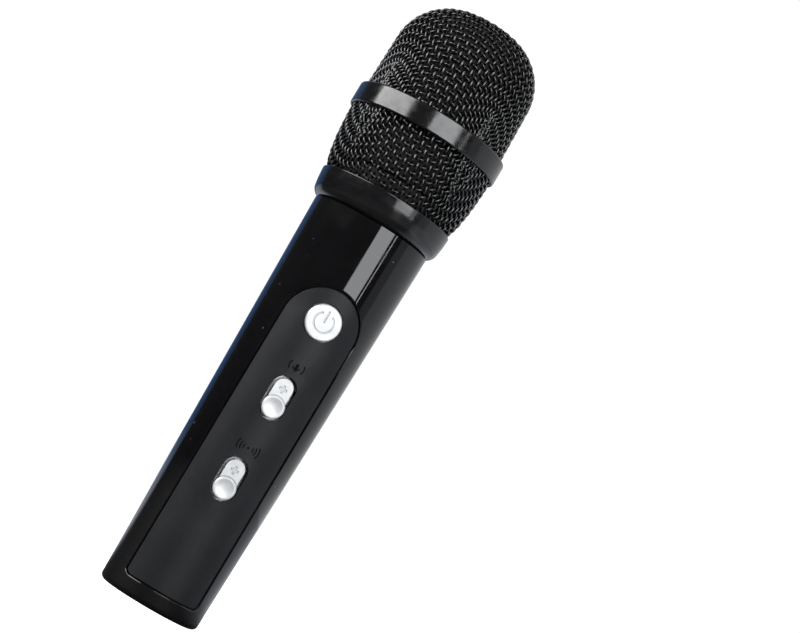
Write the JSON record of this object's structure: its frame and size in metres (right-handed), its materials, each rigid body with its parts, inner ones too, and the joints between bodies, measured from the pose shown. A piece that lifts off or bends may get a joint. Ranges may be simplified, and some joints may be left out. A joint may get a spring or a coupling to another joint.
{
  "type": "karaoke microphone",
  "caption": "Cordless handheld karaoke microphone: woven grille head, tapered gloss barrel, control panel with a push button and level sliders.",
  "frame": {"origin": "centre of the flat foot, on the barrel's axis", "axes": "+Z along the barrel towards the grille, -Y out of the control panel, +X to the right when facing the panel"},
  "size_m": [0.0596, 0.0596, 0.24],
  "materials": {
    "gloss_black": "high gloss piano black",
    "panel_black": "fine-grained satin charcoal",
    "mark_black": "sunk black ink",
    "silver": "satin silver plating",
    "grille_black": "satin black powder coat on woven steel wire",
    "foam": "open-cell black foam",
    "steel": "bright zinc plate",
    "tin_can": "tinned sheet",
    "frame_plastic": "dark moulded plastic",
    "circuit_board": "green solder mask",
    "chip": "black moulded package",
    "connector": "natural nylon",
    "brass": "bright",
    "cell_wrap": "shrink sleeve",
    "wire": "insulated lead",
    "rubber": "moulded rubber",
    "magnet": "ground yoke and magnet",
    "capsule": "moulded capsule shell",
    "capsule_face": "punched sheet"
  },
  "bodies": {
    "handle": {"barrel_shell": "gloss_black", "collar_ring": "gloss_black", "neck_ring": "frame_plastic", "neck_screws": "steel", "control_panel": "panel_black", "panel_marks": "mark_black", "mic_level_plate": "silver", "echo_level_plate": "silver", "mic_level_pot": "tin_can", "echo_level_pot": "tin_can", "power_switch": "tin_can", "main_board": "circuit_board", "board_screws": "steel", "board_chips": "chip", "radio_shield": "tin_can", "antenna_rod": "brass", "lead_connector": "connector", "battery_tray": "frame_plastic", "battery_cell": "cell_wrap", "battery_contacts": "brass", "battery_leads": "wire", "charge_board": "circuit_board", "charge_socket": "tin_can", "charge_board_screws": "steel", "capsule_post": "frame_plastic", "capsule_mount": "rubber", "capsule_housing": "capsule", "capsule_magnet": "magnet", "capsule_cover": "capsule_face", "capsule_leads": "wire"},
    "power_button": {"power_button": "silver", "power_plunger": "chip"},
    "mic_level_slider": {"mic_level_knob": "silver", "mic_level_lever": "connector"},
    "echo_level_slider": {"echo_level_knob": "silver", "echo_level_lever": "connector"},
    "grille_head": {"grille_upper": "grille_black", "grille_band": "gloss_black", "grille_lower": "grille_black", "grille_thread_ring": "frame_plastic", "foam_liner": "foam"}
  },
  "joints": [
    {"name": "power_press", "type": "slide", "parent": "handle", "child": "power_button", "axis": [0, 1, 0], "range_m": [0, 0.0006], "stiffness_N_per_m": 2000, "springref_m": -0.0003},
    {"name": "mic_level_slide", "type": "slide", "parent": "handle", "child": "mic_level_slider", "axis": [0, 0, 1], "range_m": [0, 0.007]},
    {"name": "echo_level_slide", "type": "slide", "parent": "handle", "child": "echo_level_slider", "axis": [0, 0, 1], "range_m": [0, 0.007]},
    {"name": "head_lift", "type": "slide", "parent": "handle", "child": "grille_head", "axis": [0, 0, 1], "range_m": [0, 0.06]}
  ]
}
